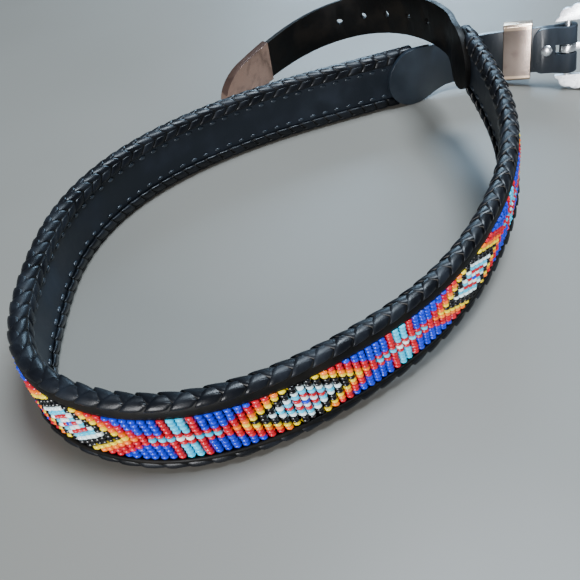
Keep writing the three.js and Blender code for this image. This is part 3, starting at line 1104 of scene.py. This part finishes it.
@dataclass
class Section:
    """The rounded section of the laced top edge, measured round it from its inner foot."""

    belt_width: float
    inner_face: float = -4.2
    outer_face: float = 3.7
    foot: float = 6.4
    top: float = 33.45
    squareness: float = 2.6
    leg: float = 4.0
    samples: int = 160

    def __post_init__(self) -> None:
        """Works out the section's points, its directions outwards and the lengths round it."""
        angle = np.linspace(math.pi, 0, self.samples)
        cosine = np.cos(angle)
        sine = np.maximum(np.sin(angle), 0)
        middle = (self.inner_face + self.outer_face) / 2
        half = (self.outer_face - self.inner_face) / 2
        bottom = self.belt_width - self.foot
        power = 2 / self.squareness
        n = middle + half * np.sign(cosine) * np.abs(cosine) ** power
        h = bottom + (self.top - bottom) * sine**power
        n = np.concatenate([[n[0]], n, [n[-1]]])
        h = np.concatenate([[bottom - self.leg], h, [bottom - self.leg]])
        rounds = np.concatenate([[0.0], np.cumsum(np.hypot(np.diff(n), np.diff(h)))]) - self.leg
        ahead = np.stack([np.gradient(n, rounds), np.gradient(h, rounds)], axis=1)
        ahead /= np.linalg.norm(ahead, axis=1, keepdims=True)
        self.rounds = rounds
        self.rows = np.stack([n, h, -ahead[:, 1], ahead[:, 0]], axis=1)

    @property
    def length(self) -> float:
        """How far it is round the section, from foot to foot."""
        return float(self.rounds[-1]) - self.leg

    def place(self, rounds: np.ndarray, lift: np.ndarray) -> tuple[np.ndarray, np.ndarray]:
        """Points round the section.

        Args:
            rounds: how far round it they are.
            lift: how far they stand out from it.

        Returns:
            Their distances outwards, and their heights from the belt's lower edge.
        """
        n, h, out, up = (np.interp(rounds, self.rounds, self.rows[:, k]) for k in range(4))
        size = np.hypot(out, up)
        return n + lift * out / size, h + lift * up / size


@dataclass
class LacedEdge:
    """One edge's leather lace: two rows of slanted turns that cross in a herringbone on the edge."""

    strap: Strap
    maker: Maker
    edge: Edge
    pitch: float = 7.7
    cover: float = 0.99
    centre: float = 0.55
    overrun: float = 2.3
    holes_at: float = 3.4
    face_holes_at: float = 3.1
    outer_face: float = 3.7
    welt_step: float = 3.0
    welt_drop: float = 0.15
    welt_thickness: float = 1.3
    welt_points: int = 14
    tuck_under: float = 0.1
    end_fade: float = 45.0
    end_room: float = 4.2

    def turns(self, section: Section) -> list[Turn]:
        """The turns that each pitch repeats: the inside and outside rows, and the stitch by the lining.

        Args:
            section: the edge's section.

        Returns:
            The three turns.
        """
        middle = section.length * self.centre
        wide = self.pitch * self.cover
        inside = Turn(
            foot=self.holes_at - 0.6, tip=middle + self.overrun, width=wide, phase=0.0, lap=0.60, crown=0.20,
            swell_at=0.78, foot_taper=0.30, foot_sink=0.7, foot_lap=0.4,
        )
        outside = Turn(
            foot=section.length - self.face_holes_at, tip=middle - self.overrun, width=wide,
            phase=self.pitch * 0.75, rate=0.85, lap=0.85, foot_taper=0.15, foot_sink=1.0, foot_lap=0.3,
        )
        stitch = Turn(
            foot=self.holes_at + 0.6, tip=-0.4, width=self.pitch * 0.90, phase=self.pitch * 0.1, rate=0.9,
            lap=0.3, crown=0.30, lift=0.1, foot_sink=0.5, tip_sink=0.4, steps=9,
        )
        return [inside, outside, stitch]

    def build(self, leather: Material, welt_leather: Material) -> Object:
        """Laces the edge.

        Args:
            leather: the lace's material.
            welt_leather: the material of the smooth leather under it.

        Returns:
            The lacing, laid along the route.
        """
        strap = self.strap
        section = Section(strap.route.belt_width, outer_face=self.outer_face)
        points, slants, edges, faces = [], [], [], []
        for turn in self.turns(section):
            flat, slant, edge = turn.surface()
            offset = sum(len(part) for part in points)
            faces += [tuple(k + offset for k in face) for face in turn.faces()]
            points.append(flat)
            slants.append(slant)
            edges.append(edge)
        unit = self.maker.mesh("turn", np.vstack(points), faces)
        for name, values in (("slant", slants), ("cut", edges)):
            layer = unit.data.attributes.new(name, "FLOAT", "POINT")
            layer.data.foreach_set("value", np.concatenate(values))
        self.maker.smooth(unit)
        first, last = strap.start + self.end_room, strap.end - self.end_room
        count = round((last - first) / self.pitch)
        pitch = (last - first) / count
        name = f"{self.edge.value}_lace"
        start = (first, 0.0, 0.0)
        piece = self.maker.repeat(name, unit, (count, 1), (pitch, 0.0), start, leather)
        self.bend(piece, section)
        self.maker.lay(piece)
        laid = self.maker.points(piece)
        laid[:, 2] = np.maximum(laid[:, 2], 0.0)
        self.maker.move(piece, laid)
        self.maker.seat(piece, "root", Slot.LACE, f"{self.edge.value}_lacing")
        self.welt(section, welt_leather)
        return piece

    def bend(self, piece: Object, section: Section) -> None:
        """Slants the flat lace, bends it round the edge's section and tucks it under the tongues.

        Args:
            piece: the flat lace, which becomes a piece of the straight belt.
            section: the edge's section.
        """
        strap = self.strap
        slant = np.empty(len(piece.data.vertices))
        piece.data.attributes["slant"].data.foreach_get("value", slant)
        piece.data.attributes.remove(piece.data.attributes["slant"])
        along, lift, rounds = self.maker.points(piece).T
        from_end = np.minimum(along - strap.start, strap.end - along)
        s = along + slant * np.clip(from_end / self.end_fade, 0, 1)
        s = np.clip(s, strap.start, strap.end)
        self.maker.move(piece, self.wrap(section, s, rounds, lift))

    def wrap(self, section: Section, s: np.ndarray, rounds: np.ndarray, lift: np.ndarray) -> np.ndarray:
        """Points round the edge's section, tucked under the tongues.

        Args:
            section: the edge's section.
            s: how far along the belt they are.
            rounds: how far round the section they are.
            lift: how far they stand out from it.

        Returns:
            Rows of s, n and h.
        """
        strap = self.strap
        n, h = section.place(rounds, lift)
        if self.edge is Edge.BOTTOM:
            h = strap.route.belt_width - h
        covered = np.abs(h - strap.half) < strap.tongue_half(s)
        tucked = np.maximum(n, strap.lining_inner - self.tuck_under)
        return np.stack([s, np.where(covered, tucked, n), h], axis=1)

    def welt(self, section: Section, leather: Material) -> Object:
        """Makes the smooth leather under the lace, which shows between the lace and the beads.

        Args:
            section: the edge's section.
            leather: its material.

        Returns:
            The welt, laid along the route.
        """
        strap = self.strap
        rounds = np.linspace(0.0, section.length, self.welt_points)
        round_ring = np.concatenate([rounds, rounds[::-1]])
        lift = np.repeat([-self.welt_drop, -self.welt_drop - self.welt_thickness], self.welt_points)
        lengths = np.linspace(strap.start, strap.end, int((strap.end - strap.start) / self.welt_step))
        rings = [self.wrap(section, np.full(len(lift), s), round_ring, lift) for s in lengths]
        piece = ring_mesh(self.maker, f"{self.edge.value}_welt", rings)
        self.maker.lay(piece)
        piece.data.materials.append(leather)
        self.maker.seat(piece, "root", Slot.STRAP)
        return piece


@dataclass
class Lining:
    """The smooth lining on the inside of the loop.

    waves holds the height, length and phase of each wave that runs along it.
    """

    strap: Strap
    maker: Maker
    inset: float = 4.2
    puff: float = 0.35
    puff_share: float = 0.6
    puff_power: int = 4
    step: float = 2.5
    points: int = 9
    waves: tuple[Triple, ...] = ((0.10, 9.0, 0.0), (0.06, 3.7, 1.0))

    def build(self, leather: Material) -> Object:
        """Makes the lining.

        Args:
            leather: its material.

        Returns:
            The lining, laid along the route.
        """
        strap = self.strap
        count = int((strap.end - strap.start) / self.step)
        heights = np.linspace(self.inset, strap.route.belt_width - self.inset, self.points)
        share = (heights - strap.half) / (strap.half - self.inset)
        rings = []
        for s in np.linspace(strap.start, strap.end, count):
            wave = sum(height * math.sin(s / length + phase) for height, length, phase in self.waves)
            swell = (self.puff + wave) * (1 - share**self.puff_power) * self.puff_share
            inner = strap.lining_inner - swell
            ring = [(s, n, h) for n, h in zip(inner, heights)]
            rings.append(ring + [(s, strap.lining_outer, heights[-1]), (s, strap.lining_outer, heights[0])])
        piece = ring_mesh(self.maker, "lining_band", rings)
        self.maker.lay(piece)
        piece.data.materials.append(leather)
        self.maker.seat(piece, "root", Slot.LINING, "lining")
        return piece


@dataclass
class LiningStitches:
    """The two rows of short lace stitches that show on the lining."""

    strap: Strap
    maker: Maker
    pitch: float = 7.7
    inset: float = 8.8
    end_room: float = 19.0
    half_length: float = 2.0
    half_height: float = 1.0
    rise: float = 0.75
    bed: float = 0.15
    jitter: float = 0.08

    def stitch(self) -> Object:
        """Makes one stitch round its own middle.

        Returns:
            The stitch.
        """
        work = bmesh.new()
        bmesh.ops.create_icosphere(work, subdivisions=2, radius=1.0)
        for vertex in work.verts:
            x, y, z = vertex.co
            vertex.co = (x * self.half_length, y * self.rise, z * self.half_height)
        return self.maker.unit("stitch", work)

    def build(self, leather: Material) -> Object:
        """Sews the two rows.

        Args:
            leather: the lace's material.

        Returns:
            The stitches, laid along the route.
        """
        strap = self.strap
        first, last = strap.start + self.end_room, strap.end - self.end_room
        count = round((last - first) / self.pitch)
        rows_apart = strap.route.belt_width - 2 * self.inset
        start = (first, strap.lining_inner - self.bed, self.inset)
        step = ((last - first) / count, rows_apart)
        piece = self.maker.repeat("lining_stitches", self.stitch(), (count + 1, 2), step, start, leather,
                                  self.jitter)
        self.maker.lay(piece)
        self.maker.seat(piece, "root", Slot.LACE)
        return piece


def ring_mesh(maker: Maker, name: str, rings: list) -> Object:
    """A closed body through rings of points.

    Args:
        maker: the mesh tools.
        name: the piece's name.
        rings: lists of as many points each.

    Returns:
        The piece, smooth except at sharp corners.
    """
    size = len(rings[0])
    faces = []
    for i in range(len(rings) - 1):
        for j in range(size):
            k = (j + 1) % size
            faces.append((i * size + j, i * size + k, (i + 1) * size + k, (i + 1) * size + j))
    last = (len(rings) - 1) * size
    faces.append(tuple(range(size))[::-1])
    faces.append(tuple(last + j for j in range(size)))
    piece = maker.mesh(name, np.array(rings, float).reshape(-1, 3), faces)
    for polygon in piece.data.polygons:
        polygon.use_smooth = len(polygon.vertices) == 4
    return piece


@dataclass(frozen=True)
class Fitting:
    """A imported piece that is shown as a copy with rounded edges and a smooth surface.

    round_over is in millimetres, merge_within in metres, and sharp and flat are in degrees.
    """

    node: str
    body: str
    slot: Slot
    round_over: float
    sharp: float = 34.0
    flat: float = 1.0
    merge_within: float = 1e-6
    segments: int = 3

    def build(self, maker: Maker, material: Material) -> Object:
        """Makes the rounded copy.

        Args:
            maker: the mesh tools.
            material: the piece's material.

        Returns:
            The piece.
        """
        source = maker.nodes[self.node]
        work = bmesh.new()
        work.from_mesh(source.data)
        bmesh.ops.remove_doubles(work, verts=work.verts, dist=self.merge_within)
        bmesh.ops.dissolve_limit(
            work, angle_limit=math.radians(self.flat), verts=work.verts, edges=work.edges,
        )
        piece = maker.unit(f"{self.node}_finished", work)
        bevel = piece.modifiers.new("Round", "BEVEL")
        bevel.width = self.round_over * MM
        bevel.segments = self.segments
        bevel.limit_method = "ANGLE"
        bevel.angle_limit = math.radians(self.sharp)
        bevel.harden_normals = True
        maker.bake(piece)
        piece.data.materials.clear()
        piece.data.materials.append(material)
        maker.seat(piece, self.body, self.slot, self.node)
        return piece


@dataclass(frozen=True)
class Lamp:
    """A soft square light: its place and its side in metres, and its power in watts."""

    name: str
    place: Triple
    size: float
    power: float
    colour: Triple

    def build(self, aim: Vector) -> None:
        """Adds the light.

        Args:
            aim: what it points at.
        """
        data = bpy.data.lights.new(self.name, "AREA")
        data.size = self.size
        data.energy = self.power
        data.color = self.colour
        place = Vector(self.place)
        turn = (place - aim).to_track_quat("Z", "Y").to_matrix().to_4x4()
        Maker.linked(self.name, data).matrix_world = Matrix.Translation(place) @ turn


@dataclass(frozen=True)
class Studio:
    """The floor, the lights, the background and the camera."""

    lens: float = 40.23
    sensor: float = 36.0
    down: float = 41.78
    roll: float = 8.02
    eye: Triple = (0.0, -250.0, 187.7)
    floor_half: float = 4.0
    aim: Triple = (0.0, 0.0, 0.02)
    lamps: tuple[Lamp, ...] = (
        Lamp("skylight", (0.34, 0.08, 1.38), 0.60, 50.0, (0.74, 0.87, 1.0)),
        Lamp("window", (0.28, 1.25, 0.60), 0.50, 15.0, (0.50, 0.75, 1.0)),
        Lamp("card", (-0.42, -1.08, 0.26), 0.50, 22.0, (0.97, 0.98, 1.0)),
    )
    sky: Colour = (0.84, 0.90, 1.0, 1.0)
    sky_strength: float = 0.16
    near: float = 0.01

    def camera(self, route: Route) -> None:
        """Puts the camera at the photograph's view.

        Args:
            route: the belt's route, whose shift the camera shares.
        """
        down, roll = math.radians(self.down), math.radians(self.roll)
        right = Vector((1, 0, 0))
        up = Vector((0, math.sin(down), math.cos(down)))
        turned_right = right * math.cos(roll) - up * math.sin(roll)
        turned_up = right * math.sin(roll) + up * math.cos(roll)
        back = turned_right.cross(turned_up)
        data = bpy.data.cameras.new("camera")
        data.lens = self.lens
        data.sensor_width = self.sensor
        data.sensor_fit = "HORIZONTAL"
        data.clip_start = self.near
        camera = Maker.linked("camera", data)
        turn = Matrix((turned_right, turned_up, back)).transposed().to_4x4()
        place = (np.array(self.eye) + route.shift) * MM
        camera.matrix_world = Matrix.Translation(Vector(place)) @ turn
        bpy.context.scene.camera = camera

    def build(self, route: Route) -> None:
        """Sets the floor, the lights, the background and the camera.

        Args:
            route: the belt's route, whose shift the camera shares.
        """
        corners = np.array([(-1, -1, 0), (1, -1, 0), (1, 1, 0), (-1, 1, 0)], float) * self.floor_half
        floor = Maker.mesh("floor", corners, [(0, 1, 2, 3)])
        floor.data.materials.append(Floor().build())
        for lamp in self.lamps:
            lamp.build(Vector(self.aim))
        world = bpy.data.worlds.new("studio")
        world.use_nodes = True
        background = world.node_tree.nodes["Background"]
        background.inputs["Color"].default_value = self.sky
        background.inputs["Strength"].default_value = self.sky_strength
        bpy.context.scene.world = world
        self.camera(route)


@dataclass(frozen=True)
class Palette:
    """The belt's materials."""

    strap: Material
    billet: Material
    lining: Material
    lace: Material
    silver: Material
    rose: Material
    keeper: Material

    @classmethod
    def make(cls, route: Route, keeper_at: float) -> "Palette":
        """Makes the materials.

        Args:
            route: the belt's route.
            keeper_at: how far along it the keeper's middle is.

        Returns:
            The materials.
        """
        low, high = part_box("keeper")
        axis = Vector(route.axes(np.array([keeper_at]))[2][0])
        middle = Vector((low + high) / 2).dot(axis)
        return cls(
            strap=Leather(
                "strap_leather", dye=(0.002, 0.002, 0.002, 1.0), worn=(0.007, 0.0058, 0.0045, 1.0),
                gloss=0.46, dull=0.60, coat=0.0, shine=0.14,
            ).build(),
            # Painted reflection: the billet's dye and worn colours are lighter and bluer than the strap's,
            # standing in for the sky's bluish sheen on the tongue.
            billet=Leather(
                "billet_leather", dye=(0.010, 0.015, 0.022, 1.0), worn=(0.020, 0.029, 0.041, 1.0),
                gloss=0.28, dull=0.42, patch=0.025, coat=0.35, dull_from=float(high.x),
            ).build(),
            lining=Leather(
                "lining_leather", dye=(0.006, 0.009, 0.014, 1.0), worn=(0.012, 0.017, 0.026, 1.0),
                gloss=0.44, dull=0.60, patch=0.02, coat=0.0, shine=0.28,
            ).build(),
            lace=Leather(
                "lace_leather", gloss=0.29, dull=0.46, grain=0.0005, coat=0.0, shine=0.26,
                cut_attribute="cut",
            ).build(),
            silver=Metal(
                "silver_plate", plate=(0.95, 0.97, 1.0, 1.0), tarnish=(0.50, 0.53, 0.57, 1.0),
                roughness=0.30, cloud=0.0035, relief=0.00004,
            ).build(),
            rose=Metal(
                "rose_plate", plate=(0.62, 0.39, 0.31, 1.0), tarnish=(0.32, 0.20, 0.17, 1.0),
                roughness=0.22,
            ).build(),
            # The keeper's darker plate is a painted dark reflection on its face; its rims get a painted
            # highlight.
            keeper=HighlitRimMetal(
                "keeper_plate", plate=(0.38, 0.30, 0.26, 1.0), tarnish=(0.27, 0.20, 0.17, 1.0),
                roughness=0.22, axis=tuple(axis), middle=middle,
            ).build(),
        )


def main() -> None:
    """Builds the belt's pieces in order, then the studio."""
    logging.basicConfig(level=logging.INFO, format="%(name)s %(message)s")
    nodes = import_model()["nodes"]
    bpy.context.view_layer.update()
    route = Route()
    LOG.info("route %.1f mm, shift %s", route.length, route.shift.round(3))
    maker = Maker(route, nodes)
    strap = Strap(route)
    palette = Palette.make(route, strap.keeper_at)
    nodes["strap_leather"].data.materials.clear()
    nodes["strap_leather"].data.materials.append(palette.strap)
    BeadPanel(strap, maker).build(Glass("seed_glass", "bead_colour"))
    LacedEdge(strap, maker, Edge.TOP).build(palette.lace, palette.strap)
    bottom = LacedEdge(strap, maker, Edge.BOTTOM, face_holes_at=1.2, outer_face=4.7)
    bottom.build(palette.lace, palette.strap)
    Lining(strap, maker).build(palette.lining)
    # The lining stitches take the billet's leather, so its painted bluish sheen stands in for the light that
    # they catch.
    LiningStitches(strap, maker).build(palette.billet)
    for fitting, material in [
        (Fitting("buckle_billet", "root", Slot.STRAP, 0.5), palette.billet),
        (Fitting("tail_strap", "root", Slot.STRAP, 0.5), palette.strap),
        (Fitting("billet_stud", "root", Slot.SILVER, 0.2), palette.silver),
        (Fitting("metal_tip", "root", Slot.ROSE, 0.35), palette.rose),
        (Fitting("keeper", "root", Slot.ROSE, 0.45), palette.keeper),
        (Fitting("buckle_frame", "buckle", Slot.SILVER, 0.6), palette.silver),
        (Fitting("prong", "prong", Slot.SILVER, 0.6), palette.silver),
    ]:
        fitting.build(maker, material)
    Studio().build(route)


if __name__ == "__main__":
    main()
